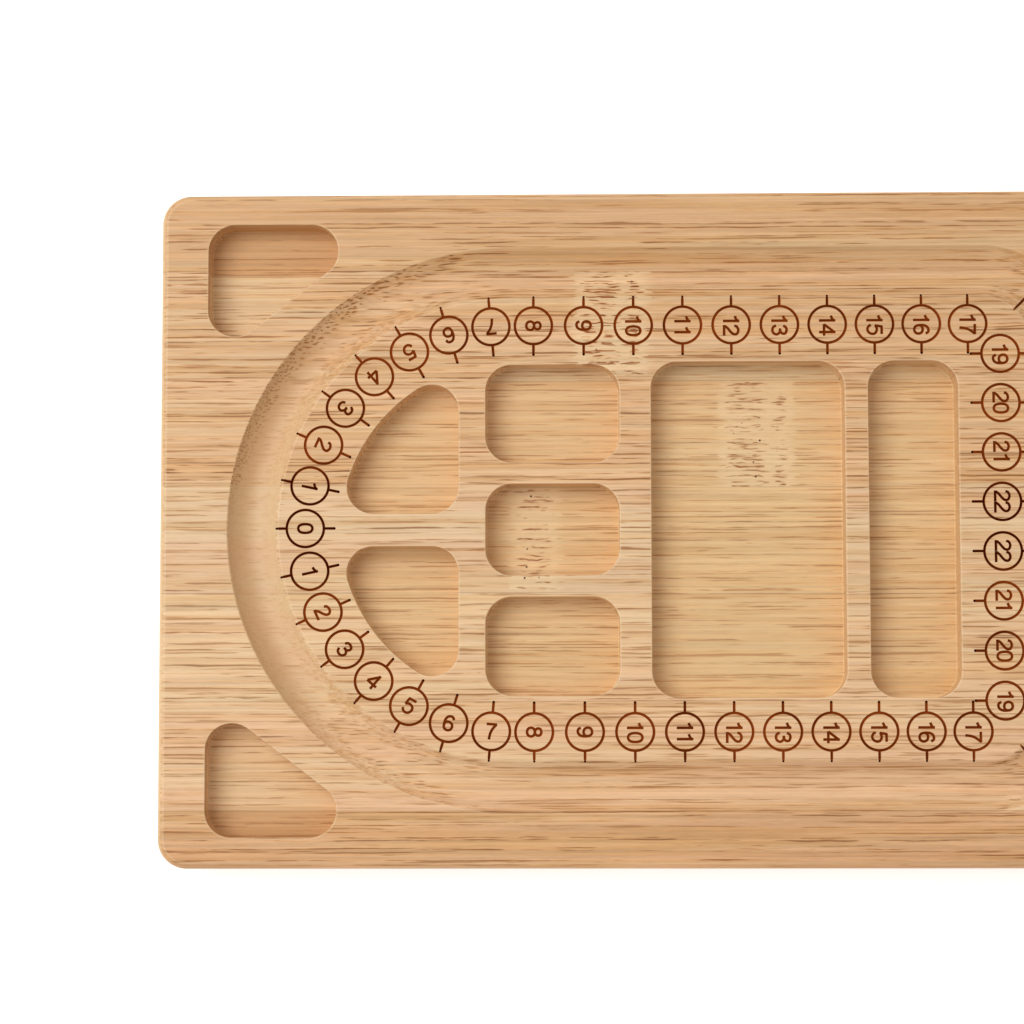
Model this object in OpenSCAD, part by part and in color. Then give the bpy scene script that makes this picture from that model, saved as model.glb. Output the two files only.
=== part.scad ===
// Bead design board: a three-ply bamboo panel with nine bead wells, a looped
// necklace groove and a centimetre scale of engraved rings along the groove.
// Millimetres. Origin at the middle of the underside, +X along the grain
// towards the square end of the groove, +Z up. Places along the length are
// given from the board's left edge, where the groove has its round end.

/* [Board] */
// Length of the board, along the grain
board_l = 205; // [200:1:230]
// Width of the board
board_w = 140; // [136:1:150]
// Thickness of the face and back plies, which the groove just cuts through
face_t = 2.8; // [2.4:0.1:2.8]
// Thickness of the core ply
core_t = 9.4; // [8:0.2:12]
// Radius of the four corners, seen from above
corner_r = 6; // [4:0.5:8]
// Radius on the upper and lower edges
edge_r = 1.5; // [0.5:0.25:2.5]

/* [Bamboo strips] */
// Width of one full bamboo strip
strip_w = 22.4; // [22:0.1:22.8]
// Height of one glue line above the board's centre line, in the two upper plies
glue_line_y = 9; // [8.6:0.1:9.4]

/* [Necklace groove] */
// Place of the round end's centre, from the left edge
arc_x = 72.4; // [71:0.1:74]
// Radius of the groove's own line round that centre
groove_r = 53.3; // [53:0.1:56]
// Place of the straight run across the square end, from the left edge
groove_end_x = 185.4; // [184:0.1:188]
// Radius of the groove's own line at its two square-end corners
groove_bend_r = 14.6; // [12:0.1:18]
// Radius of the round-nosed cutter
groove_cutter_r = 6; // [5.6:0.1:6]
// Depth of the groove
groove_depth = 2.9; // [2.9:0.05:3]

/* [Bead wells] */
// Depth of every well
well_depth = 7; // [5.5:0.5:9]
// Radius that the cutter leaves in the corners of the wells
well_r = 5.5; // [4:0.25:6]
// Outer radius of the two quarter-round wells
quarter_well_r = 34.9; // [33:0.1:35.5]
// Half the width of the wall between the two quarter-round wells
quarter_wall = 3.4; // [2.5:0.1:4.5]
// Half the height of the two long wells
long_well_h = 34.8; // [34.5:0.1:35]

/* [Scale] */
// Radius of the engraved rings, at the middle of the line
ring_r = 3.85; // [3.6:0.05:3.9]
// Width of the engraved lines
line_w = 0.45; // [0.3:0.05:0.5]
// Depth of the engraving
line_depth = 0.25; // [0.1:0.05:0.4]
// Distance from a ring's centre to the ends of its two ticks
tick_reach = 6.15; // [5:0.05:6.2]
// Distance of the rings from the round end's centre, and of the rows from the centre line
ring_path_r = 42.1; // [41.9:0.05:42.2]
// Angle between neighbouring rings round the round end
ring_step = 12.15; // [12:0.05:12.2]
// Place of the first ring of the two rows, from the left edge
row_x = 77.6; // [77.3:0.1:78]
// Distance from the first ring of a row to the second
row_pitch = 10.42; // [10.2:0.02:10.5]
// How much shorter each step of a row is than the step before it
row_squeeze = 0.108; // [0:0.004:0.12]
// Place of the column of rings at the square end, from the left edge
column_x = 174.1; // [174:0.05:174.2]
// Distance between neighbouring rings of the column
column_pitch = 10.24; // [10.1:0.02:10.3]

/* [Hidden] */
$fn = 96;
PLIES = ["back", "core", "face"];
STRIP_COUNT = 7;

PLY_Z = [0, face_t, face_t + core_t, 2 * face_t + core_t]; // the plies' lower and upper sides
board_t = PLY_Z[len(PLIES)];
past = 1; // how far a cutter runs past what it cuts

// The strips are numbered from the far edge (+Y) to the near one.
function glue_line(i) = glue_line_y + (3 - i) * strip_w;
function strip_far_y(i) = i == 1 ? board_w / 2 + past : glue_line(i - 1);
function strip_near_y(i) = i == STRIP_COUNT ? -board_w / 2 - past : glue_line(i);

// The three tones that natural strips are sorted into, light to dark.
TONES = [[0.85, 0.69, 0.51], [0.81, 0.63, 0.45], [0.77, 0.58, 0.41]];
function tone(ply, i) = TONES[(2 * i + ply * 5) % len(TONES)];

// [left, right, near, far] of the straight-sided wells, from the left edge and the centre line.
STRAIGHT_WELLS = [
    [67.3, 95.2, 13.9, 34.3],
    [67.3, 95.2, -9.5, 9.5],
    [67.3, 95.2, -34.3, -13.9],
    [101.5, 141.7, -long_well_h, long_well_h],
    [146.6, 165.2, -long_well_h, long_well_h]
];
QUARTER_WELL_RIGHT = 62; // right-hand side of the quarter-round wells
CORNER_WELL_LEFT = 9.8; // the corner wells' outer side, from the left edge
CORNER_WELL_RIGHT = 36.9; // their pointed end
CORNER_WELL_NEAR = 40.2; // their inner end, from the centre line
CORNER_WELL_FAR = 63.6; // and their outer side

GROOVE_HALF_W = sqrt(groove_depth * (2 * groove_cutter_r - groove_depth)); // half its width at the face
BEND_X = groove_end_x - groove_bend_r; // centre of the groove's two bends
BEND_Y = groove_r - groove_bend_r;
CORNER_RING_REACH = 25.9; // from a bend's centre to the ring outside it, at 45 degrees
ARC_RINGS = 7; // rings 1 to 7 lie round the round end
ROW_RINGS = 10; // rings 8 to 17 lie in the rows
COLUMN_RINGS = 4; // rings 22 to 19 lie in the column

// Every ring as [place from the left edge, distance from the centre line, direction of its ticks].
RINGS = concat(
    [[arc_x - ring_path_r, 0, 180]],
    [for (side = [-1, 1], n = [1:ARC_RINGS])
        let (a = 180 - side * n * ring_step)
        [arc_x + ring_path_r * cos(a), ring_path_r * sin(a), a]],
    [for (side = [-1, 1], k = [0:ROW_RINGS - 1])
        [row_x + row_pitch * k - row_squeeze * k * (k - 1) / 2, side * ring_path_r, 90]],
    [for (side = [-1, 1], k = [0:COLUMN_RINGS - 1])
        [column_x, side * column_pitch * (k + 0.5), 0]]
);

// The panel before machining

module slab_section(width) {
    translate([edge_r - width / 2, 0]) square([width - 2 * edge_r, board_t]);
    translate([-width / 2, edge_r]) square([width, board_t - 2 * edge_r]);
    for (side = [-1, 1], z = [edge_r, board_t - edge_r])
        translate([side * (width / 2 - edge_r), z]) circle(edge_r);
}

module board_corner() {
    rotate_extrude() intersection() {
        slab_section(2 * corner_r);
        square([corner_r, board_t]);
    }
}

module board_blank() {
    inner_l = board_l - 2 * corner_r;
    inner_w = board_w - 2 * corner_r;
    translate([corner_r, 0, 0]) rotate([90, 0, 90]) linear_extrude(inner_l) slab_section(board_w);
    translate([board_l / 2, inner_w / 2, 0]) rotate([90, 0, 0]) linear_extrude(inner_w) slab_section(board_l);
    for (x = [corner_r, board_l - corner_r], y = [-inner_w / 2, inner_w / 2])
        translate([x, y, 0]) board_corner();
}

// Bead wells

function unit_normal(a, b) = let (d = b - a) [d.y, -d.x] / norm(d);

// A convex outline whose corners, given anticlockwise by their centres, are rounded to r.
module rounded_outline(centres, r) {
    count = len(centres);
    polygon([for (i = [0:count - 1], end = [0, 1])
        centres[(i + end) % count] + r * unit_normal(centres[i], centres[(i + 1) % count])]);
    for (c = centres) translate(c) circle(r);
}

module straight_well_outline(box) {
    left = box[0] + well_r;
    right = box[1] - well_r;
    near = box[2] + well_r;
    far = box[3] - well_r;
    rounded_outline([[left, near], [right, near], [right, far], [left, far]], well_r);
}

module corner_well_outline() {
    left = CORNER_WELL_LEFT + well_r;
    far = CORNER_WELL_FAR - well_r;
    rounded_outline([[left, far], [left, CORNER_WELL_NEAR + well_r], [CORNER_WELL_RIGHT - well_r, far]], well_r);
}

module quarter_well_outline() {
    inner_r = quarter_well_r - well_r; // where the centres of the corner roundings lie
    right = QUARTER_WELL_RIGHT - well_r;
    near = quarter_wall + well_r;
    hub = [arc_x, 0];
    tip = [arc_x - sqrt(inner_r * inner_r - near * near), near];
    top = [right, sqrt(inner_r * inner_r - (arc_x - right) * (arc_x - right))];
    rounded_outline([tip, [right, near], top], well_r);
    intersection() {
        translate(hub) circle(quarter_well_r, $fn = 2 * $fn);
        polygon([tip, [right, near], top, hub + 1.4 * (top - hub), hub + 1.4 * (tip - hub)]);
    }
}

module wells() {
    translate([0, 0, board_t - well_depth]) linear_extrude(well_depth + past) {
        for (box = STRAIGHT_WELLS) straight_well_outline(box);
        for (side = [0, 1]) mirror([0, side, 0]) {
            corner_well_outline();
            quarter_well_outline();
        }
    }
}

// Necklace groove: a cove that a round-nosed cutter leaves along a closed loop

module groove_run(from, to, cutter_r) {
    along = to - from;
    translate([from.x, from.y, board_t + groove_cutter_r - groove_depth])
        rotate([0, 90, atan2(along.y, along.x)]) cylinder(h = norm(along), r = cutter_r);
}

module groove_turn(centre, r, from_angle, sweep, cutter_r) {
    translate([centre.x, centre.y, board_t + groove_cutter_r - groove_depth])
        rotate([0, 0, from_angle])
            rotate_extrude(angle = sweep, $fn = 2 * $fn) translate([r, 0]) circle(cutter_r, $fn = 96);
}

module groove() {
    groove_turn([arc_x, 0], groove_r, 90, 180, groove_cutter_r);
    groove_run([groove_end_x, -BEND_Y], [groove_end_x, BEND_Y], groove_cutter_r);
    for (side = [-1, 1]) {
        groove_run([arc_x, side * groove_r], [BEND_X, side * groove_r], groove_cutter_r);
        groove_turn([BEND_X, side * BEND_Y], groove_bend_r, side < 0 ? 270 : 0, 90, groove_cutter_r);
    }
}

// Engraved scale

module engraved(depth = line_depth) {
    translate([0, 0, board_t - depth]) linear_extrude(depth + past) children();
}

module ring_line() {
    difference() {
        circle(ring_r + line_w / 2);
        circle(ring_r - line_w / 2);
    }
}

module ring_mark() {
    engraved() {
        ring_line();
        for (side = [0, 180]) rotate(side) translate([ring_r, -line_w / 2]) square([tick_reach - ring_r, line_w]);
    }
}

// The ring outside a bend of the groove, and its leader, which follows the groove's own surface.
module corner_mark(side) {
    across = 2 * asin(line_w / 2 / groove_bend_r);
    groove_turn([BEND_X, side * BEND_Y], groove_bend_r, side * 45 - across / 2, across, groove_cutter_r + line_depth);
    translate([BEND_X, side * BEND_Y, 0]) rotate([0, 0, side * 45]) engraved() {
        translate([CORNER_RING_REACH, 0]) ring_line();
        groove_rim = groove_bend_r + GROOVE_HALF_W;
        translate([groove_rim - past / 4, -line_w / 2])
            square([CORNER_RING_REACH - ring_r - groove_rim + past / 4, line_w]);
    }
}

// The marks that reach the strip between two glue lines.
module scale_marks(near_y, far_y) {
    for (r = RINGS)
        if (r.y + tick_reach > near_y && r.y - tick_reach < far_y)
            translate([r.x, r.y, 0]) rotate([0, 0, r.z]) ring_mark();
    for (side = [-1, 1])
        if (side * far_y > BEND_Y || side * near_y > BEND_Y) corner_mark(side);
}

// Strips

module strip_blank(ply, near_y, far_y) {
    intersection() {
        board_blank();
        translate([-past, near_y, PLY_Z[ply]])
            cube([board_l + 2 * past, far_y - near_y, PLY_Z[ply + 1] - PLY_Z[ply]]);
    }
}

module in_board_frame() {
    translate([-board_l / 2, 0, 0]) children();
}

// A strip of the upper ply: all wells pass through it, and the groove and the scale are cut into it.
module face_strip(i) {
    color(tone(2, i)) in_board_frame() difference() {
        strip_blank(2, strip_near_y(i), strip_far_y(i));
        wells();
        groove();
        scale_marks(strip_near_y(i), strip_far_y(i));
    }
}

// A strip of the middle ply, which the wells' floors and the bottom of the groove lie in.
module core_strip(i) {
    color(tone(1, i)) in_board_frame() difference() {
        strip_blank(1, strip_near_y(i), strip_far_y(i));
        wells();
        groove();
    }
}

// A strip of the lower ply, whose glue lines mirror those of the other two.
module back_strip(i) {
    j = STRIP_COUNT + 1 - i;
    color(tone(0, i)) in_board_frame() strip_blank(0, -strip_far_y(j), -strip_near_y(j));
}

for (i = [1:STRIP_COUNT]) {
    back_strip(i);
    core_strip(i);
    face_strip(i);
}
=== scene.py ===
"""Looks of the bead design board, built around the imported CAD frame.

Each bamboo strip is modelled again with the shapes that the CAD leaves out: rounded rims, soft groove edges,
fillets at the floors and the engraved numbers. Lengths are millimetres until a mesh is made. Places along the board
are given from its left edge, as in the CAD.
"""

import math

import bmesh
import bpy
from mathutils import Matrix, Vector


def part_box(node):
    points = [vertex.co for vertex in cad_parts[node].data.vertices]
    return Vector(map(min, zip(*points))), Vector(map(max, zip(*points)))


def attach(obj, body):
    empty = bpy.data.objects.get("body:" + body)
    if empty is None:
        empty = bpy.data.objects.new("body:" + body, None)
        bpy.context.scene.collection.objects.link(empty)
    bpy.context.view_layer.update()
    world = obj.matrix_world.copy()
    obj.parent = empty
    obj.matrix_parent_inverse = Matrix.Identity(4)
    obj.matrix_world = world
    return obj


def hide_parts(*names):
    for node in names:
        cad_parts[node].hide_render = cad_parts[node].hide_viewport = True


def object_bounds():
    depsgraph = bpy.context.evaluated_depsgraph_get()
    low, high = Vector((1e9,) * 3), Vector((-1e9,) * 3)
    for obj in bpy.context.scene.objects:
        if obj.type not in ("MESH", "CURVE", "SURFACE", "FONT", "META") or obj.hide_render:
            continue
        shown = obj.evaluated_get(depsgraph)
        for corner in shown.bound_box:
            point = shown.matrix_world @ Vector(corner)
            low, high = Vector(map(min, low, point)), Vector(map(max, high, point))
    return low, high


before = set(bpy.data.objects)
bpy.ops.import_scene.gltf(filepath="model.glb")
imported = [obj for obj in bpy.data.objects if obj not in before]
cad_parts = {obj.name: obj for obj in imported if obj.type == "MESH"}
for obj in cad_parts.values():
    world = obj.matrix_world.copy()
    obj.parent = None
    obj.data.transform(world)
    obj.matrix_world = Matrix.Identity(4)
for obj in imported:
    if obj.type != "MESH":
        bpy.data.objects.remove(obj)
CAD_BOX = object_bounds()

MM = 0.001
LOW, HIGH = (tuple(c / MM for c in corner) for corner in CAD_BOX)
LEFT, RIGHT = LOW[0], HIGH[0]
NEAR, FAR = LOW[1], HIGH[1]
TOP = HIGH[2]

PLIES = ("back", "core", "face")
STRIPS = range(1, 8)

CORNER_R = 6.0
EDGE_R = 1.5

GROOVE_R = 53.3  # the groove's own line round the hub
GROOVE_END = 185.4
BEND_R = 14.6
CUTTER_R = 6.2
GROOVE_DEPTH = 2.75  # it stops just short of the glue line, which the CAD's groove just reaches
HUB = (72.4, 0.0)  # centre of the round end
BEND_X, BEND_Y = GROOVE_END - BEND_R, GROOVE_R - BEND_R
OUTER_RIM_R = (1.3, 0.35)  # rounding of the groove's outer rim along the grain and across it
INNER_RIM_R = 1.8  # and of its inner one, which is sanded soft

WELL_FLOOR = TOP - 7.0
WELL_R = 5.5
WELL_FLOOR_R = 0.35
WELL_ARRIS = [(-0.2, 0), (-0.13, 0.02), (-0.08, 0.06), (-0.05, 0.13), (0.01, 0.42), (1, 0.5)]  # (over the top, growth)
WELL_OFFSET_Y = -0.35  # how far the wells inside the loop sit off the board's centre line
BOX_WELLS = [  # (left, right, near, far)
    (67.6, 95.3, 13.9, 34.3),
    (67.6, 95.3, -9.5, 9.5),
    (67.6, 95.3, -34.3, -13.9),
    (101.9, 141.9, -34.8, 34.8),
    (146.8, 165.3, -34.8, 34.8),
]
CORNER_WELL_LEFT, CORNER_WELL_RIGHT = 9.8, 36.9
CORNER_WELL_NEAR, CORNER_WELL_FAR = 40.2, 63.6
QUARTER_WELL_REACH = 34.9  # of its curved side from the hub
QUARTER_WELL_RIGHT, QUARTER_WELL_NEAR = 62.0, 3.4

RING_R = 3.85
LINE_W = 0.46
LINE_DEPTH = 0.25
LINE_LEAN = (-0.13, 0.1)  # what a line's half width gains at its bottom and at the top
TICK_REACH = 6.15
TICK_DOT_R = 0.27  # the laser dwells at a tick's end
RING_PATH_R = 42.1
RING_TURN = 12.15  # degrees from ring to ring in the round end
ROW_X = 77.6  # of the ring numbered 8
ROW_STEP, ROW_CLOSING = 10.42, 0.108  # the first step along a row, and how much shorter each next one is
COLUMN_X, COLUMN_STEP = 174.1, 10.24
BEND_RING_REACH = 25.9  # of the ring outside a bend from the bend's centre


def cos(degrees):
    return math.cos(math.radians(degrees))


def sin(degrees):
    return math.sin(math.radians(degrees))


# ---------------------------------------------------------------- outlines


def arc(centre, radius, start, end, count):
    """Points of an arc, anticlockwise from start to end in degrees."""
    return [
        (
            centre[0] + radius * cos(start + (end - start) * k / count),
            centre[1] + radius * sin(start + (end - start) * k / count),
        )
        for k in range(count + 1)
    ]


def arcs_outline(arcs, grow=0.0):
    """A closed outline of arcs (centre, radius, start, end), joined by straight lines. grow moves it outward."""
    points = []
    for centre, radius, start, end in arcs:
        count = max(6, round((end - start) / 5), round((end - start) * radius / 60))
        points += arc(centre, radius + grow, start, end, count)
    return points


def rounded_polygon(centres, radius):
    """Arcs for the corners of a convex polygon, given anticlockwise by the corners' centres."""
    arcs = []
    for i, centre in enumerate(centres):
        before, after = centres[i - 1], centres[(i + 1) % len(centres)]
        start = math.degrees(math.atan2(centre[1] - before[1], centre[0] - before[0])) - 90
        end = math.degrees(math.atan2(after[1] - centre[1], after[0] - centre[0])) - 90
        arcs.append((centre, radius, start, start + (end - start) % 360))
    return arcs


def box_well(left, right, near, far):
    r = WELL_R
    return rounded_polygon([(left + r, near + r), (right - r, near + r), (right - r, far - r), (left + r, far - r)], r)


def corner_well():
    r = WELL_R
    left, right, near, far = CORNER_WELL_LEFT + r, CORNER_WELL_RIGHT - r, CORNER_WELL_NEAR + r, CORNER_WELL_FAR - r
    return rounded_polygon([(left, far), (left, near), (right, far)], r)


def quarter_well():
    """The well whose curved side runs along the round end."""
    r, outer, right, near = WELL_R, QUARTER_WELL_REACH, QUARTER_WELL_RIGHT - WELL_R, QUARTER_WELL_NEAR + WELL_R
    inner = outer - r
    tip = (HUB[0] - math.sqrt(inner**2 - near**2), near)
    top = (right, math.sqrt(inner**2 - (HUB[0] - right) ** 2))
    tip_angle = math.degrees(math.atan2(tip[1], tip[0] - HUB[0]))
    top_angle = math.degrees(math.atan2(top[1], top[0] - HUB[0]))
    return [
        (tip, r, tip_angle, 270),
        ((right, near), r, 270, 360),
        (top, r, 0, top_angle),
        (HUB, outer, top_angle, tip_angle),
    ]


def mirrored(arcs):
    return [((c[0], -c[1]), r, -end, -start) for c, r, start, end in reversed(arcs)]


# ---------------------------------------------------------------- meshes


def new_object(name, points, faces, material_indices=None):
    """A mesh object from points in millimetres, given from the board's left edge."""
    mesh = bpy.data.meshes.new(name)
    mesh.from_pydata([((x + LEFT) * MM, y * MM, z * MM) for x, y, z in points], [], faces)
    if material_indices:
        mesh.polygons.foreach_set("material_index", material_indices)
    bm = bmesh.new()
    bm.from_mesh(mesh)
    bmesh.ops.recalc_face_normals(bm, faces=bm.faces)
    bm.to_mesh(mesh)
    bm.free()
    obj = bpy.data.objects.new(name, mesh)
    bpy.context.scene.collection.objects.link(obj)
    return obj


def loft(name, rings, closed=False, slot=0):
    """A solid through rings of equally many points.

    closed joins the last ring to the first, otherwise both ends are capped.
    """
    size = len(rings[0])
    points = [p for ring in rings for p in ring]
    faces = []
    for k in range(len(rings) if closed else len(rings) - 1):
        a, b = k * size, (k + 1) % len(rings) * size
        faces += [(a + i, a + (i + 1) % size, b + (i + 1) % size, b + i) for i in range(size)]
    if not closed:
        faces += [tuple(range(size)), tuple(range(len(points) - size, len(points)))]
    return new_object(name, points, faces, [slot] * len(faces))


def lofted_outline(name, arcs, levels, slot=0):
    """A solid whose outline grows with height, as levels of (height, growth) say."""
    return loft(name, [[(x, y, z) for x, y in arcs_outline(arcs, grow)] for z, grow in levels], slot=slot)


def well_cutter(name, arcs):
    """Cuts a well with a small fillet at its floor and an arris that is only just sanded off."""
    levels = [
        (WELL_FLOOR + WELL_FLOOR_R * (1 - cos(a)), WELL_FLOOR_R * (sin(a) - 1)) for a in range(0, 91, 15)
    ]
    levels += [(TOP + rise, growth) for rise, growth in WELL_ARRIS]
    return lofted_outline(name, arcs, levels)


def groove_profile(across, deeper=0.0):
    """(distance outward from the groove's line, height) along the groove's cross section: a cove with two rounded rims.

    across says how far the groove runs across the grain there, from 0 to 1.
    """
    outer_rim_r = OUTER_RIM_R[0] + (OUTER_RIM_R[1] - OUTER_RIM_R[0]) * min(1.0, 1.6 * across)
    cutter = CUTTER_R + deeper
    centre_z = TOP + CUTTER_R - GROOVE_DEPTH
    leans, rims = [], []
    for side, rim_r, count in ((-1, INNER_RIM_R, 14), (1, outer_rim_r, 8)):
        # The rim's rounding touches the cove, and meets the top at a slight angle, so that they cross cleanly.
        rim_z = TOP - rim_r * sin(80)
        rim_u = math.sqrt((cutter + rim_r) ** 2 - (centre_z - rim_z) ** 2)
        lean = math.degrees(math.atan2(rim_u, centre_z - rim_z))
        turns = [lean * (1 - k / count) for k in range(count + 1)]
        rim = [(side * (rim_u - rim_r * sin(a)), rim_z + rim_r * cos(a)) for a in turns]
        rims.append(rim + [(side * rim_u, TOP + 1)])
        leans.append(side * lean)
    turns = [leans[0] + (leans[1] - leans[0]) * k / 44 for k in range(1, 44)]
    cove = [(cutter * sin(a), centre_z - cutter * cos(a)) for a in turns]
    return rims[0][::-1] + cove + rims[1]


def groove_path():
    """(x, y, outward x, outward y) along the groove's line, anticlockwise, round the whole loop."""
    path = []

    def turn(centre, radius, start, end, count):
        for (x, y), (nx, ny) in zip(arc(centre, radius, start, end, count), arc((0, 0), 1, start, end, count)):
            path.append((x, y, nx, ny))

    turn(HUB, GROOVE_R, 90, 270, 180)
    turn((BEND_X, -BEND_Y), BEND_R, 270, 360, 45)
    turn((BEND_X, BEND_Y), BEND_R, 0, 90, 45)
    return path


def groove_sweep(name, path, deeper=0.0, closed=True, slot=0):
    rings = [[(x + u * nx, y + u * ny, z) for u, z in groove_profile(abs(nx), deeper)] for x, y, nx, ny in path]
    return loft(name, rings, closed=closed, slot=slot)


# ---------------------------------------------------------------- engraving

# The digits as strokes on a field 1.64 wide and 2.94 high, round its middle: a stroke is a list of points that a
# smooth line runs through, and a closed one starts with "loop".
DIGITS = {
    "0": [["loop", (0, 1.47), (-0.6, 1.1), (-0.8, 0), (-0.6, -1.1), (0, -1.47), (0.6, -1.1), (0.8, 0), (0.6, 1.1)]],
    "1": [[(0.3, -1.7), (0.3, 0), (0.3, 1.7)], [(0.42, 1.5), (-0.05, 1.02), (-0.6, 0.75)]],
    "2": [
        [(-0.8, 0.62), (-0.66, 1.16), (0, 1.47), (0.66, 1.16), (0.72, 0.5), (0.3, -0.1), (-0.42, -0.78), (-0.8, -1.36)],
        [(-0.98, -1.47), (0, -1.47), (1.02, -1.47)],
    ],
    "3": [
        [(-0.78, 0.75), (-0.52, 1.3), (0.02, 1.47), (0.58, 1.22), (0.66, 0.7), (0.36, 0.24), (-0.22, 0.12)],
        [(-0.3, 0.12), (0.4, 0.04), (0.8, -0.56), (0.56, -1.24), (0, -1.47), (-0.56, -1.26), (-0.82, -0.7)],
    ],
    "4": [
        [(0.42, -1.7), (0.42, 0), (0.42, 1.7)],
        [(0.5, 1.56), (-0.3, 0.4), (-1.0, -0.66)],
        [(-1.06, -0.66), (0, -0.66), (1.08, -0.66)],
    ],
    "5": [
        [(-0.62, 1.47), (0, 1.47), (0.84, 1.47)],
        [(-0.52, 1.62), (-0.64, 0.9), (-0.76, 0.06)],
        [(-0.8, 0.12), (-0.3, 0.44), (0.24, 0.42), (0.7, 0.04), (0.78, -0.56)]
        + [(0.5, -1.2), (-0.06, -1.47), (-0.6, -1.24), (-0.86, -0.74)],
    ],
    "6": [
        ["loop", (0, 0.28), (-0.54, 0.08), (-0.74, -0.56), (-0.52, -1.22)]
        + [(0.02, -1.47), (0.58, -1.22), (0.78, -0.6), (0.56, 0.04)],
        [(0.76, 0.86), (0.52, 1.34), (0.08, 1.47), (-0.46, 1.2), (-0.76, 0.44), (-0.76, -0.5)],
    ],
    "7": [[(-0.94, 1.47), (0, 1.47), (0.96, 1.47)], [(0.86, 1.5), (0.2, 0.5), (-0.16, -0.5), (-0.3, -1.7)]],
    "8": [
        ["loop", (0, 1.47), (-0.5, 1.28), (-0.64, 0.8), (-0.46, 0.32)]
        + [(0, 0.14), (0.46, 0.32), (0.64, 0.8), (0.5, 1.28)],
        ["loop", (0, 0.14), (-0.58, -0.08), (-0.78, -0.66), (-0.56, -1.26)]
        + [(0, -1.47), (0.56, -1.26), (0.78, -0.66), (0.58, -0.08)],
    ],
}
DIGITS["9"] = [[p if p == "loop" else (-p[0], -p[1]) for p in stroke] for stroke in DIGITS["6"]]
DIGIT_PITCH = 2.3
DIGIT_WIDTH = 1.14


def smooth_line(points, closed, steps=5):
    """A Catmull-Rom line through the points."""
    n = len(points)
    out = []
    for i in range(n if closed else n - 1):
        if closed:
            p = [points[(i + k) % n] for k in (-1, 0, 1, 2)]
        else:
            p = [points[min(max(i + k, 0), n - 1)] for k in (-1, 0, 1, 2)]
        for s in range(steps):
            t = s / steps
            out.append(
                tuple(
                    0.5
                    * (
                        2 * p[1][c]
                        + (p[2][c] - p[0][c]) * t
                        + (2 * p[0][c] - 5 * p[1][c] + 4 * p[2][c] - p[3][c]) * t**2
                        + (3 * p[1][c] - p[0][c] - 3 * p[2][c] + p[3][c]) * t**3
                    )
                    for c in (0, 1)
                )
            )
    if not closed:
        out.append(points[-1])
    return out


def ribbon(name, line, closed, width, slot=1, depth=LINE_DEPTH):
    """Cuts a line of the given width. Its walls lean out, as a burnt line's do."""
    n = len(line)
    normals = []
    for i in range(n):
        a = line[i - 1] if closed or i else line[0]
        b = line[(i + 1) % n] if closed or i < n - 1 else line[-1]
        length = math.dist(a, b)
        normals.append(((b[1] - a[1]) / length, (a[0] - b[0]) / length))
    rings = []
    for (x, y), (nx, ny) in zip(line, normals):
        ring = []
        for side, half, z in (
            (1, width / 2 + LINE_LEAN[0], TOP - depth),
            (1, width / 2 + LINE_LEAN[1], TOP + 0.05),
            (-1, width / 2 + LINE_LEAN[1], TOP + 0.05),
            (-1, width / 2 + LINE_LEAN[0], TOP - depth),
        ):
            ring.append((x + side * half * nx, y + side * half * ny, z))
        rings.append(ring)
    return loft(name, rings, closed=closed, slot=slot)


def rings_of_scale():
    """Every ring as (x, y, direction of its ticks, direction of the numbers' tops, number)."""
    rings = [(HUB[0] - RING_PATH_R, 0.0, 180.0, 0.0, "0")]
    for side in (-1, 1):
        for n in range(1, 8):
            a = 180 - side * n * RING_TURN
            rings.append((HUB[0] + RING_PATH_R * cos(a), RING_PATH_R * sin(a), a, a + 180, str(n)))
        for k in range(10):
            x = ROW_X + ROW_STEP * k - ROW_CLOSING * k * (k - 1) / 2
            rings.append((x, side * RING_PATH_R, 90.0, 0.0, str(8 + k)))
        for k in range(4):
            rings.append((COLUMN_X, side * COLUMN_STEP * (k + 0.5), 0.0, 0.0, str(22 - k)))
        reach = BEND_RING_REACH
        rings.append((BEND_X + reach * cos(45), side * (BEND_Y + reach * sin(45)), None, 0.0, "18"))
    return rings


def scale_cutters(near, far):
    """The cutters of all marks that reach between two heights on the board."""
    cutters = []
    for x, y, ticks, top, number in rings_of_scale():
        if y + TICK_REACH < near or y - TICK_REACH > far:
            continue
        name = "mark"
        cutters.append(ribbon(name, arc((x, y), RING_R, 0, 360, 64)[:-1], True, LINE_W))
        if ticks is not None:
            for a in (ticks, ticks + 180):
                line = [(x + r * cos(a), y + r * sin(a)) for r in (RING_R, TICK_REACH)]
                cutters.append(ribbon(name, line, False, LINE_W))
                end = (x + (TICK_REACH - 0.1) * cos(a), y + (TICK_REACH - 0.1) * sin(a))
                dot = [(end, TICK_DOT_R, 0, 359.9)]
                cutters.append(
                    lofted_outline(name, dot, [(TOP - LINE_DEPTH - 0.1, -0.05), (TOP + 0.5, 0.05)], slot=2)
                )
        for i, digit in enumerate(number):
            shift = (i - (len(number) - 1) / 2) * DIGIT_PITCH
            for stroke in DIGITS[digit]:
                closed = stroke[0] == "loop"
                line = []
                for u, v in smooth_line(stroke[1:] if closed else stroke, closed):
                    u = u * DIGIT_WIDTH + shift
                    line.append((x + v * cos(top) + u * sin(top), y + v * sin(top) - u * cos(top)))
                cutters.append(ribbon(name, line, closed, LINE_W))
    return cutters


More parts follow.
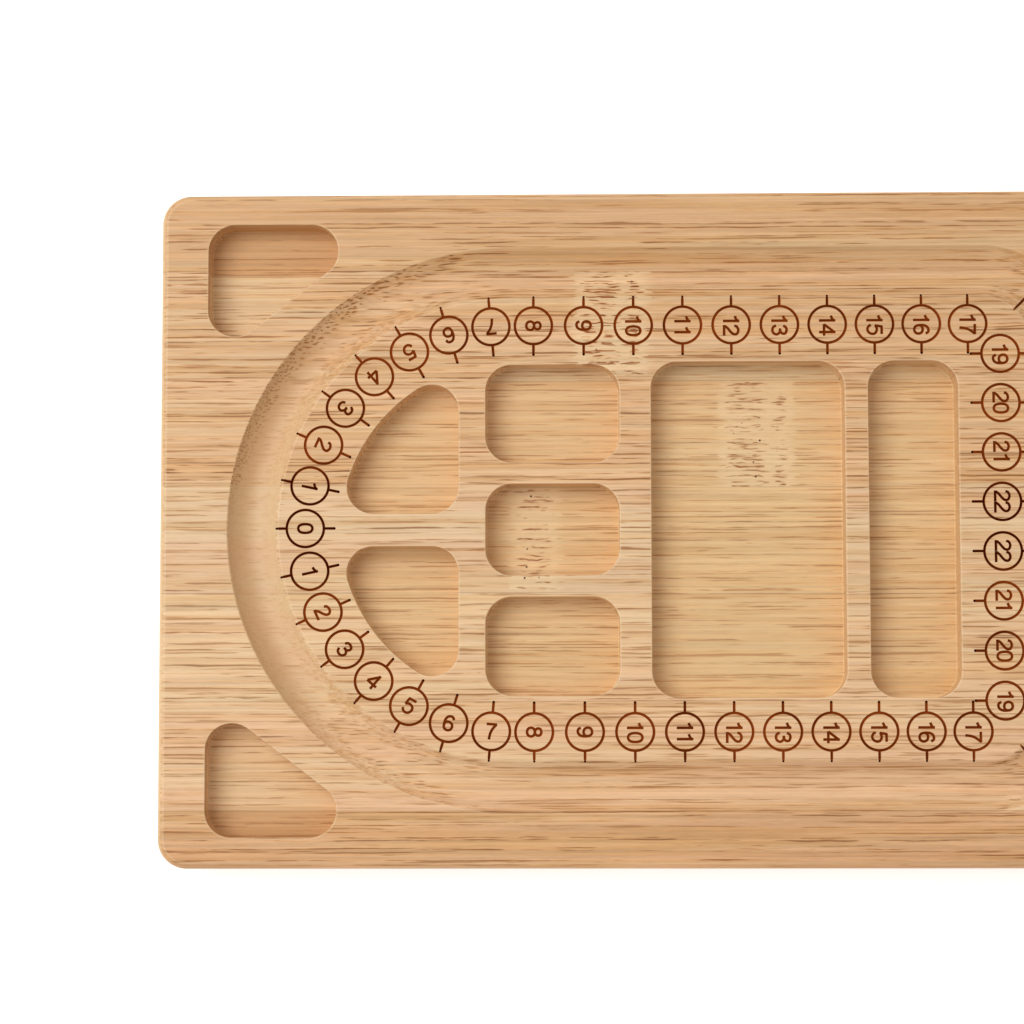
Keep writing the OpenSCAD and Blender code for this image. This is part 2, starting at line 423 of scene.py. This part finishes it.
def leader_cutters(side):
    """The leader that joins a bend's ring 18 to the groove's inner rim, running down through the groove."""
    span = math.degrees(0.75 * LINE_W / BEND_R)
    centre = (BEND_X, side * BEND_Y)
    path = [
        (centre[0] + BEND_R * cos(a), centre[1] + BEND_R * sin(a), cos(a), sin(a))
        for a in (side * 45 - span, side * 45 + span)
    ]
    rim = BEND_R + math.sqrt(GROOVE_DEPTH * (2 * CUTTER_R - GROOVE_DEPTH))
    line = [(centre[0] + r * cos(45), centre[1] + r * side * sin(45)) for r in (rim - 0.3, BEND_RING_REACH - RING_R)]
    in_groove = groove_sweep("leader", path, LINE_DEPTH * 0.5, closed=False, slot=1)
    return [in_groove, ribbon("leader", line, False, LINE_W)]


# ---------------------------------------------------------------- materials


def srgb(r, g, b):
    """A colour given as on screen, 0 to 255, in Blender's linear values."""
    return tuple(((c / 255 + 0.055) / 1.055) ** 2.4 if c > 10 else c / 255 / 12.92 for c in (r, g, b)) + (1.0,)


class Tree:
    """Builds a material's nodes. Each method adds one node and returns its output."""

    def __init__(self, name):
        self.material = bpy.data.materials.new(name)
        self.material.use_nodes = True
        self.tree = self.material.node_tree
        self.tree.nodes.clear()

    def node(self, kind, inputs, output=0, **settings):
        node = self.tree.nodes.new(kind)
        for key, value in settings.items():
            setattr(node, key, value)
        for key, value in inputs.items():
            if isinstance(value, bpy.types.NodeSocket):
                self.tree.links.new(value, node.inputs[key])
            else:
                node.inputs[key].default_value = value
        return node.outputs[output] if node.outputs else None

    def math(self, operation, a, b=0.0, clamp=False):
        return self.node("ShaderNodeMath", {0: a, 1: b}, operation=operation, use_clamp=clamp)

    def vector(self, operation, a, b=(0, 0, 0)):
        return self.node("ShaderNodeVectorMath", {0: a, 1: b}, operation=operation)

    def scaled(self, vector, factor):
        return self.node("ShaderNodeVectorMath", {0: vector, "Scale": factor}, operation="SCALE")

    def ease(self, value, low, high, to_low=0.0, to_high=1.0):
        """Turns value smoothly from to_low at low to to_high at high."""
        return self.node(
            "ShaderNodeMapRange",
            {"Value": value, "From Min": low, "From Max": high, "To Min": to_low, "To Max": to_high},
            interpolation_type="SMOOTHSTEP",
        )

    def mix(self, factor, a, b, blend="MIX"):
        node = self.tree.nodes.new("ShaderNodeMix")
        node.data_type = "RGBA"
        node.blend_type = blend
        for socket, value in ((node.inputs[0], factor), (node.inputs[6], a), (node.inputs[7], b)):
            if isinstance(value, bpy.types.NodeSocket):
                self.tree.links.new(value, socket)
            else:
                socket.default_value = value
        return node.outputs[2]

    def split(self, vector):
        node = self.node("ShaderNodeSeparateXYZ", {0: vector}).node
        return tuple(node.outputs)

    def line(self, value, slope, start):
        """value * slope + start"""
        return self.node("ShaderNodeMath", {0: value, 1: slope, 2: start}, operation="MULTIPLY_ADD")

    def centred(self, value):
        return self.math("SUBTRACT", value, 0.5)

    def grey(self, value):
        return self.node("ShaderNodeCombineColor", {0: value, 1: value, 2: value})

    def noise(self, place, size, detail=2.0, rough=0.5, output=0):
        """Noise whose features are about size = (x, y, z) millimetres big."""
        where = self.vector("DIVIDE", place, size)
        return self.node(
            "ShaderNodeTexNoise", {"Vector": where, "Scale": 1.0, "Detail": detail, "Roughness": rough}, output=output
        )

    def finish(self, colour, roughness, bump, specular=0.35):
        shader = self.node("ShaderNodeBsdfPrincipled", {"Base Color": colour, "Roughness": roughness}).node
        if bump is not None:
            self.tree.links.new(bump, shader.inputs["Normal"])
        shader.inputs["Specular IOR Level"].default_value = specular
        self.node("ShaderNodeOutputMaterial", {0: shader.outputs[0]})
        return self.material


BUNDLE_PITCH = 0.66
# Colours as on screen.
BUNDLE_DARK = (166, 106, 52), (142, 90, 48)
BUNDLE_HALO = (208, 154, 98)
SCAR_WOOD = (238, 206, 160)
SCAR_DARK = (146, 76, 24)
SCAR_SPECK = (90, 50, 28)
END_GRAIN = (236, 200, 152)
MILLED = (190, 140, 88)
# Painted shade and painted light for the two sides of the groove in the round end.
PAINTED_SHADE_OUTER = (184, 134, 84)
PAINTED_LIGHT_INNER = (240, 208, 160)
GLUE = (142, 98, 60)
# Paler colour for a thin band at the top of every arris.
PALE_ARRIS = (246, 216, 174)
SCORCHED = (184, 106, 44)


def bamboo(name, seed, seams_y, seams_z, tone, rosy, density, contrast, scars=()):
    """The material of one strip.

    Bamboo is soft ground tissue with dark fibre bundles that run along X. The bundles are rods in space, so they show
    as streaks on the face, as dots across the grain and as dashes in between. tone is the ground's colour as on
    screen, rosy how pink its bands are, density how thick its bundles are, contrast how dark they are, and scars are
    its nodes, where the bundles tangle, as (x from the board's left edge, half the width) in millimetres. seams_y and
    seams_z are where glue lines lie along its sides and between plies.
    """
    t = Tree(name)
    place = t.scaled(t.node("ShaderNodeTexCoord", {}, output=3), 1 / MM)
    x, y, z = t.split(place)
    p = t.vector("ADD", place, (seed * 37.3, seed * 11.9, seed * 5.3))

    # How far inside a node scar each point is, inside the blank bands at its two sides, and in the paler wood there.
    scar, blank, pale = None, None, None
    for along, half in scars:
        ragged = t.math("MULTIPLY", t.centred(t.noise(p, (6, 0.6, 1.2))), 7.0)
        away = t.math("ABSOLUTE", t.math("ADD", t.math("SUBTRACT", x, along + LEFT), ragged))
        inside = t.ease(away, half - 1.2, half + 0.4, 1.0, 0.0)
        edge = t.ease(t.math("ABSOLUTE", t.math("SUBTRACT", away, half + 0.9)), 0.5, 1.3, 1.0, 0.0)
        aura = t.ease(away, half - 1.0, half + 4.0, 0.5, 0.0)
        scar = inside if scar is None else t.math("MAXIMUM", scar, inside)
        blank = edge if blank is None else t.math("MAXIMUM", blank, edge)
        pale = aura if pale is None else t.math("MAXIMUM", pale, aura)

    # Bundles wander a little on their way along the strip, and more where they tangle.
    drift = t.vector("SUBTRACT", t.noise(p, (110, 5, 5), 1.0, output=1), (0.5, 0.5, 0.5))
    flutter = t.vector("SUBTRACT", t.noise(p, (45, 1.2, 1.2), 1.0, output=1), (0.5, 0.5, 0.5))
    quiver = t.vector("SUBTRACT", t.noise(p, (7, 0.8, 0.8), 2.0, output=1), (0.5, 0.5, 0.5))
    lane = t.vector("ADD", p, t.vector("MULTIPLY", drift, (0, 1.8, 2.6)))
    lane = t.vector("ADD", lane, t.vector("MULTIPLY", flutter, (0, 0.3, 1.0)))
    lane = t.vector("ADD", lane, t.vector("MULTIPLY", quiver, (0, 0.55, 0.6)))
    if scars:
        tangle = t.vector("SUBTRACT", t.noise(p, (2.8, 1.0, 1.0), 1.0, output=1), (0.5, 0.5, 0.5))
        lane = t.vector("ADD", lane, t.scaled(t.vector("MULTIPLY", tangle, (0, 1.0, 1.0)), scar))
    _, lane_y, lane_z = t.split(lane)
    across = t.node("ShaderNodeCombineXYZ", {"X": lane_y, "Y": lane_z})
    cells = {"Vector": across, "Scale": 1 / BUNDLE_PITCH, "Randomness": 0.85}
    distance = t.node("ShaderNodeTexVoronoi", cells, voronoi_dimensions="2D")
    lot = t.node("ShaderNodeTexVoronoi", cells, output=1, voronoi_dimensions="2D")
    lot_size, lot_dark, lot_hue = (t.node("ShaderNodeSeparateColor", {0: lot}, output=i) for i in range(3))

    # A bundle's radius and darkness differ from one to the next, and along its length. On walls that face +x and -y,
    # away from the key light, the bundles' ends are painted thick and dark: painted shade.
    normal_x, normal_y, normal_z = t.split(t.node("ShaderNodeNewGeometry", {}, output=1))
    pores_in_painted_shade = t.ease(t.math("MULTIPLY", t.math("MAXIMUM", normal_x, 0.0), normal_y), -0.09, -0.02, 1.0, 0.0)
    fade = t.ease(t.noise(p, (13, 0.9, 0.9), 1.5), 0.36, 0.6, 0.25, 1.05)
    fade = t.math("MAXIMUM", fade, pores_in_painted_shade)
    if scars:
        dashes = t.ease(t.noise(p, (9, 0.7, 0.7), 1.0), 0.4, 0.5, 0.0, 1.25)
        fade = t.math("ADD", fade, t.math("MULTIPLY", scar, t.math("SUBTRACT", dashes, fade)))
        fade = t.math("MULTIPLY", fade, t.math("SUBTRACT", 1.0, blank))
    radius = t.math("MULTIPLY", t.line(lot_size, 0.16, 0.18), t.math("MULTIPLY", fade, density))
    ratio = t.math("DIVIDE", distance, t.math("MAXIMUM", radius, 0.001))
    core = t.math("MULTIPLY", t.ease(ratio, 0.4, 1.3, 1.0, 0.0), t.line(lot_dark, 0.5, 0.5))
    halo = t.ease(ratio, 0.8, 2.6, 1.0, 0.0)

    # Elsewhere the cutter leaves end grain smooth. In the round end it leaves the whole groove smooth. There the outer
    # side, which faces away from the key light, is darkened with painted shade, and the inner wall, which faces the
    # light, is made paler with painted light.
    end_grain = t.ease(t.math("ABSOLUTE", normal_x), 0.2, 0.8)
    smooth_cut = t.ease(t.math("ABSOLUTE", normal_x), 0.05, 0.35)
    milled = t.ease(t.line(x, 1 / GROOVE_R, -(LEFT + HUB[0]) / GROOVE_R), -0.95, -0.6, 1.0, 0.0)
    milled = t.math("MULTIPLY", milled, t.ease(z, TOP - 0.5, TOP - 0.1, 1.0, 0.0))
    milled = t.math("MULTIPLY", milled, t.ease(z, TOP - 3.2, TOP - 2.9, 0.0, 1.0))
    # Painted shade on the outer side, which faces away from the key light.
    painted_shade_outer_side = t.math("MULTIPLY", milled, t.ease(normal_x, -0.35, 0.45))
    # Painted light on the inner wall, which faces the key light.
    painted_light_inner_wall = t.math("MULTIPLY", milled, t.ease(normal_x, -0.75, -0.3, 1.0, 0.0))
    vivid = t.line(milled, -0.65 * contrast, contrast)

    # The ground tissue: bands of tan and rose, and fine fibre.
    tan = tuple(c * k for c, k in zip(tone, (0.95, 0.87, 0.74)))
    rose = tuple(c * k for c, k in zip(tone, (1.0, 0.925, 0.93)))
    bands = t.ease(t.noise(p, (85, 1.5, 2.2), 2.0), 0.42, 0.68)
    broad = t.ease(t.noise(p, (150, 6, 8), 1.0), 0.35, 0.65)
    fibre = t.noise(p, (3.5, 0.24, 0.24), 3.0, 0.6)
    threads = t.noise(p, (40, 0.5, 0.5), 1.0)
    colour = t.mix(t.math("MULTIPLY", broad, rosy), srgb(*tone), srgb(*rose))
    colour = t.mix(t.math("MULTIPLY", bands, t.math("MULTIPLY", vivid, 0.6)), colour, srgb(*tan))
    colour = t.mix(t.math("MULTIPLY", end_grain, 0.3), colour, srgb(*END_GRAIN))
    if scars:
        colour = t.mix(pale, colour, srgb(*SCAR_WOOD))
    colour = t.mix(t.math("MULTIPLY", halo, t.math("MULTIPLY", vivid, 0.5)), colour, srgb(*BUNDLE_HALO))
    dark = t.mix(lot_hue, *(srgb(*c) for c in BUNDLE_DARK))
    shows = t.math("MULTIPLY", t.line(smooth_cut, -0.75, 1.0), vivid)
    # Painted shade: the bundles' ends show darkest on walls that face away from the key light.
    shows = t.math("MAXIMUM", shows, t.math("MULTIPLY", pores_in_painted_shade, 1.25 * contrast))
    if scars:
        dark = t.mix(scar, dark, srgb(*SCAR_DARK))
        shows = t.math("ADD", shows, t.math("MULTIPLY", scar, 0.35))
    colour = t.mix(t.math("MULTIPLY", core, shows, clamp=True), colour, dark)
    streaks = t.math("ADD", t.math("MULTIPLY", fibre, 0.34), t.math("MULTIPLY", threads, 0.6))
    streaks = t.math("ADD", t.math("MULTIPLY", t.math("SUBTRACT", streaks, 0.44), vivid), 1.0)
    colour = t.mix(1.0, colour, t.grey(streaks), "MULTIPLY")
    colour = t.mix(t.math("MULTIPLY", milled, 0.14), colour, srgb(*MILLED))
    # Painted shade on the groove's outer side in the round end.
    colour = t.mix(t.math("MULTIPLY", painted_shade_outer_side, 0.5), colour, srgb(*PAINTED_SHADE_OUTER))
    # Painted light on the groove's inner wall in the round end.
    colour = t.mix(t.math("MULTIPLY", painted_light_inner_wall, 0.35), colour, srgb(*PAINTED_LIGHT_INNER))
    if scars:
        specks = t.node("ShaderNodeTexVoronoi", {"Vector": p, "Scale": 1 / 2.3})
        specks = t.math("MULTIPLY", t.ease(specks, 0.07, 0.13, 1.0, 0.0), scar)
        colour = t.mix(specks, colour, srgb(*SCAR_SPECK))

    # Glue lines where the strip meets its neighbours, in its own ply and in the next. Those between plies show on
    # upright surfaces only.
    upright = t.ease(t.math("ABSOLUTE", normal_z), 0.3, 0.8, 1.0, 0.0)
    glue = None
    for coordinate, planes, seen in ((y, seams_y, 1.0), (z, seams_z, upright)):
        for plane in planes:
            line = t.ease(t.math("ABSOLUTE", t.math("SUBTRACT", coordinate, plane)), 0.03, 0.2, 1.0, 0.0)
            line = t.math("MULTIPLY", line, seen)
            glue = line if glue is None else t.math("MAXIMUM", glue, line)
    glue = t.math("MULTIPLY", glue, t.ease(t.noise(p, (20, 20, 20)), 0.3, 0.7, 0.1, 0.5))
    glue = t.math("MULTIPLY", glue, t.line(milled, -0.6, 1.0))
    colour = t.mix(glue, colour, srgb(*GLUE))

    # A thin band at the top of every arris is painted paler than the face.
    pale_arris = t.math("MULTIPLY", t.ease(z, TOP - 0.14, TOP - 0.05), t.ease(z, TOP - 0.006, TOP - 0.002, 1.0, 0.0))
    colour = t.mix(t.math("MULTIPLY", pale_arris, 0.2), colour, srgb(*PALE_ARRIS))

    roughness = t.line(fibre, 0.2, 0.4)
    height = t.math("SUBTRACT", t.math("MULTIPLY", fibre, 0.5), core)
    bump = t.node("ShaderNodeBump", {"Height": height, "Strength": 0.6, "Distance": 0.05 * MM})
    return t.finish(colour, roughness, bump)


def burnt(name, light, dark):
    """What the laser leaves: darker where it dwelt, at the two ends of the scale."""
    t = Tree(name)
    place = t.scaled(t.node("ShaderNodeTexCoord", {}, output=3), 1 / MM)
    ends = None
    for along, reach in ((HUB[0] - RING_PATH_R, 15), (COLUMN_X, 12)):
        away = t.node("ShaderNodeVectorMath", {0: place, 1: (along + LEFT, 0, TOP)}, output=1, operation="DISTANCE")
        near = t.ease(away, reach - 5, reach, 1.0, 0.0)
        ends = near if ends is None else t.math("MAXIMUM", ends, near)
    patchy = t.ease(t.noise(place, (14, 14, 14), 1.0), 0.3, 0.7, 0.0, 0.7)
    grain = t.noise(place, (3, 0.3, 0.3), 2.0)
    colour = t.mix(t.math("MAXIMUM", ends, patchy), srgb(*light), srgb(*dark))
    colour = t.mix(1.0, colour, t.grey(t.line(grain, 0.8, 0.6)), "MULTIPLY")
    # The line's edge is only scorched.
    _, _, z = t.split(place)
    colour = t.mix(t.ease(z, TOP - LINE_DEPTH * 0.8, TOP, 0.0, 0.85), colour, srgb(*SCORCHED))
    bump = t.node("ShaderNodeBump", {"Height": grain, "Strength": 0.6, "Distance": 0.04 * MM})
    return t.finish(colour, t.line(grain, 0.2, 0.6), bump, 0.02)


# Ground colour, rosiness, density and contrast of the strips, from the far one to the near one.
LOOKS = {
    "face": [
        ((218, 177, 129), 0.4, 1.0, 1.0),
        ((223, 184, 139), 0.4, 1.0, 1.1),
        ((227, 186, 140), 0.3, 1.0, 1.05),
        ((230, 196, 153), 0.6, 1.0, 0.8),
        ((233, 198, 153), 0.5, 1.0, 0.85),
        ((233, 194, 150), 0.5, 1.0, 0.85),
        ((218, 176, 128), 0.8, 1.0, 1.15),
    ],
    "core": [
        ((211, 166, 114), 0.2, 0.9, 0.75),
        ((229, 198, 152), 0.2, 0.9, 0.75),
        ((230, 193, 142), 0.1, 0.95, 0.7),
        ((229, 192, 140), 0.1, 0.9, 0.72),
        ((229, 193, 141), 0.2, 0.9, 0.68),
        ((232, 197, 149), 0.2, 0.9, 0.75),
        ((209, 165, 113), 0.2, 0.9, 0.75),
    ],
    "back": [
        ((224, 183, 138), 0.5, 1.0, 1.0),
        ((229, 189, 145), 0.3, 0.9, 0.9),
        ((221, 178, 132), 0.7, 1.0, 1.0),
        ((227, 187, 143), 0.4, 0.9, 1.0),
        ((231, 192, 150), 0.6, 1.0, 0.9),
        ((223, 181, 136), 0.5, 1.0, 1.0),
        ((228, 188, 145), 0.3, 0.9, 1.0),
    ],
}
SCARS = {
    ("face", 2): [(91.5, 3.6), (98.3, 1.4)],
    ("face", 4): [(77.7, 3.6)],
    ("core", 3): [(122.0, 3.8), (128.9, 1.2)],
    ("core", 4): [(77.7, 3.4)],
    ("core", 6): [(186.0, 4.0)],
    ("back", 2): [(60.0, 4.5)],
    ("back", 5): [(148.0, 4.0)],
}


# ---------------------------------------------------------------- the strips


def ply_blank(name, low, high):
    """One whole ply of the panel, with the panel's rounded corners and edges."""
    levels = []
    if low == LOW[2]:
        levels += [(low + EDGE_R * (1 - cos(a)), EDGE_R * (sin(a) - 1)) for a in range(0, 90, 9)]
        levels += [(low + EDGE_R, 0)]
    else:
        levels += [(low, 0)]
    if high == TOP:
        levels += [(high - EDGE_R * (1 - sin(a)), EDGE_R * (cos(a) - 1)) for a in range(0, 91, 9)]
    else:
        levels += [(high, 0)]
    length, r = RIGHT - LEFT, CORNER_R
    corners = [(r, NEAR + r), (length - r, NEAR + r), (length - r, FAR - r), (r, FAR - r)]
    return lofted_outline(name, rounded_polygon(corners, r), levels)


def cut(obj, operation, cutters):
    """Cuts obj with the cutters, or keeps only what lies inside them."""
    group = bpy.data.collections.new("cutters")
    for cutter in cutters:
        group.objects.link(cutter)
    boolean = obj.modifiers.new("cut", "BOOLEAN")
    boolean.operation = operation
    boolean.operand_type = "COLLECTION"
    boolean.collection = group
    boolean.solver = "MANIFOLD"
    apply_modifiers(obj)
    bpy.data.collections.remove(group)


def apply_modifiers(obj):
    evaluated = obj.evaluated_get(bpy.context.evaluated_depsgraph_get())
    mesh = bpy.data.meshes.new_from_object(evaluated)
    old = obj.data
    obj.modifiers.clear()
    obj.data = mesh
    bpy.data.meshes.remove(old)


def remove(objects):
    for obj in objects:
        mesh = obj.data
        bpy.data.objects.remove(obj)
        bpy.data.meshes.remove(mesh)


def smooth(obj):
    """Shades obj smooth but for its sharp edges, with normals that keep the flat faces flat."""
    bm = bmesh.new()
    bm.from_mesh(obj.data)
    bmesh.ops.dissolve_degenerate(bm, edges=bm.edges, dist=1e-7)
    for face in bm.faces:
        face.smooth = True
    for edge in bm.edges:
        edge.smooth = len(edge.link_faces) == 2 and edge.calc_face_angle(0) < math.radians(28)
    bm.to_mesh(obj.data)
    bm.free()
    weighted = obj.modifiers.new("normals", "WEIGHTED_NORMAL")
    weighted.keep_sharp = True
    weighted.weight = 90
    apply_modifiers(obj)


burnt_line = burnt("burnt_line", (142, 60, 12), (64, 12, 0))
burnt_end = burnt("burnt_end", (66, 12, 0), (40, 2, 0))

wells = [box_well(*box) for box in BOX_WELLS] + [quarter_well(), mirrored(quarter_well())]
wells = [[((x, y + WELL_OFFSET_Y), *rest) for (x, y), *rest in arcs] for arcs in wells]
wells += [corner_well(), mirrored(corner_well())]
well_cutters = [well_cutter("well", arcs) for arcs in wells]
groove_cutter = groove_sweep("groove", groove_path())

PAST = 1  # how far a strip's slab reaches past the board


def meet(a, b):
    return abs(a - b) < 0.01


for ply in PLIES:
    box_low, box_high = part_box(ply + "_strip_4")
    ply_low, ply_high = box_low[2] / MM, box_high[2] / MM
    blank = ply_blank(ply, ply_low, ply_high)
    for i in STRIPS:
        node = f"{ply}_strip_{i}"
        node_low, node_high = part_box(node)
        near, far = node_low[1] / MM, node_high[1] / MM
        piece = blank.copy()
        piece.data = blank.data.copy()
        piece.name = piece.data.name = "bamboo_" + node
        bpy.context.scene.collection.objects.link(piece)
        x0, x1 = -PAST, RIGHT - LEFT + PAST
        y0 = near - PAST if meet(near, NEAR) else near
        y1 = far + PAST if meet(far, FAR) else far
        corners = ((x0, y0), (x1, y0), (x1, y1), (x0, y1))
        slab = loft("slab", [[(x, y, z) for x, y in corners] for z in (ply_low - PAST, ply_high + PAST)])
        cut(piece, "INTERSECT", [slab])
        remove([slab])
        # Glue lines at the sides that other strips touch.
        seams_y = [y for y in (near, far) if not meet(y, NEAR) and not meet(y, FAR)]
        seams_z = [z for z in (ply_low, ply_high) if not meet(z, LOW[2]) and not meet(z, TOP)]
        seed = PLIES.index(ply) * len(STRIPS) + i
        scars = SCARS.get((ply, i), ())
        piece.data.materials.clear()
        piece.data.materials.append(bamboo(node, seed, seams_y, seams_z, *LOOKS[ply][i - 1], scars))
        if ply == "face":
            piece.data.materials.append(burnt_line)
            piece.data.materials.append(burnt_end)
            marks = scale_cutters(near, far)
            for side in (-1, 1):
                if side * far > BEND_Y or side * near > BEND_Y:
                    marks += leader_cutters(side)
            cut(piece, "DIFFERENCE", well_cutters + [groove_cutter] + marks)
            remove(marks)
        elif ply == "core":
            cut(piece, "DIFFERENCE", well_cutters)
        smooth(piece)
        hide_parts(node)
        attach(piece, "root")
    remove([blank])
remove(well_cutters + [groove_cutter])


# ---------------------------------------------------------------- studio

FLOOR_HALF, FLOOR_Z = 3000, -0.05
FLOOR_GLOW, WORLD_LIGHT = 0.5, 0.52
KEY_PLACE, KEY_SIZE, KEY_POWER = (-0.58, 0.26, 1.1), 0.8, 8.5
CAMERA_LENS, CAMERA_PLACE = 104.8, (-0.0136, -0.0502, 0.6286)
CAMERA_TURNS = (("X", 4.981), ("Y", 1.47), ("Z", -0.204))  # degrees, in this order

corners = [(x * FLOOR_HALF, y * FLOOR_HALF, FLOOR_Z) for x, y in ((-1, -1), (1, -1), (1, 1), (-1, 1))]
floor = new_object("floor", corners, [(0, 1, 2, 3)])
t = Tree("floor")
mottle = t.noise(t.node("ShaderNodeTexCoord", {}, output=3), (0.4, 0.4, 0.4), 2.0)
t.finish(t.grey(t.line(mottle, 0.02, 0.9)), t.line(mottle, 0.1, 0.5), None)
glow = next(node for node in t.tree.nodes if node.type == "BSDF_PRINCIPLED")
glow.inputs["Emission Color"].default_value = (1, 1, 1, 1)
glow.inputs["Emission Strength"].default_value = FLOOR_GLOW
floor.data.materials.append(t.material)

world = bpy.data.worlds.new("studio")
world.use_nodes = True
world.node_tree.nodes["Background"].inputs["Color"].default_value = (1, 1, 1, 1)
world.node_tree.nodes["Background"].inputs["Strength"].default_value = WORLD_LIGHT
bpy.context.scene.world = world


def area_light(name, place, aim, size, power):
    light = bpy.data.lights.new(name, "AREA")
    light.size = size
    light.energy = power
    obj = bpy.data.objects.new(name, light)
    obj.location = place
    obj.rotation_euler = (Vector(aim) - Vector(place)).to_track_quat("-Z", "Y").to_euler()
    bpy.context.scene.collection.objects.link(obj)


area_light("key", KEY_PLACE, (0, 0, 0), KEY_SIZE, KEY_POWER)

camera = bpy.data.cameras.new("camera")
camera.lens = CAMERA_LENS
camera.sensor_width = 36
camera_object = bpy.data.objects.new("camera", camera)
turned = Matrix.Identity(4)
for axis, angle in CAMERA_TURNS:
    turned = turned @ Matrix.Rotation(math.radians(angle), 4, axis)
camera_object.matrix_world = Matrix.Translation(CAMERA_PLACE) @ turned
bpy.context.scene.collection.objects.link(camera_object)
bpy.context.scene.camera = camera_object
bpy.context.scene.view_settings.view_transform = "Standard"
